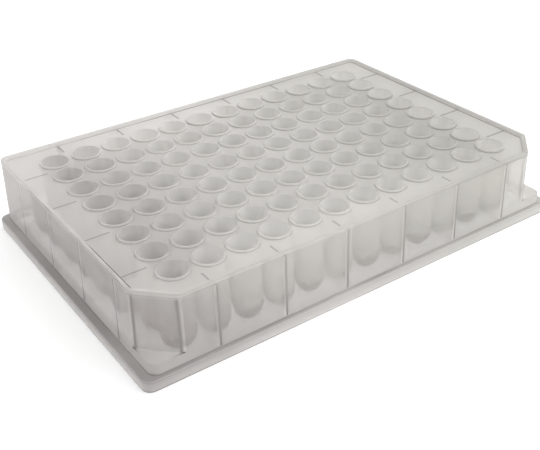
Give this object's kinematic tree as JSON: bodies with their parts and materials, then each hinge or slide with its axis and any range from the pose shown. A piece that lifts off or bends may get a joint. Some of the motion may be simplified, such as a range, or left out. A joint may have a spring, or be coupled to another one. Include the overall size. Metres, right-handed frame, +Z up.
{
  "type": "well plate",
  "caption": "Moulded translucent plastic well plate: a sunken deck of round-bottomed wells inside a ribbed skirt that stands on a foot flange, with bevelled corners along one side.",
  "frame": {"origin": "middle of the base, on the plane that the foot flange stands on", "axes": "+X along the rows, towards the last column; +Y towards row A, away from the two bevelled corners; +Z up"},
  "size_m": [0.1278, 0.0854, 0.021],
  "materials": {
    "well_plate": "natural translucent polypropylene, as moulded, satin"
  },
  "bodies": {
    "root": {"well_plate": "well_plate"}
  },
  "joints": []
}
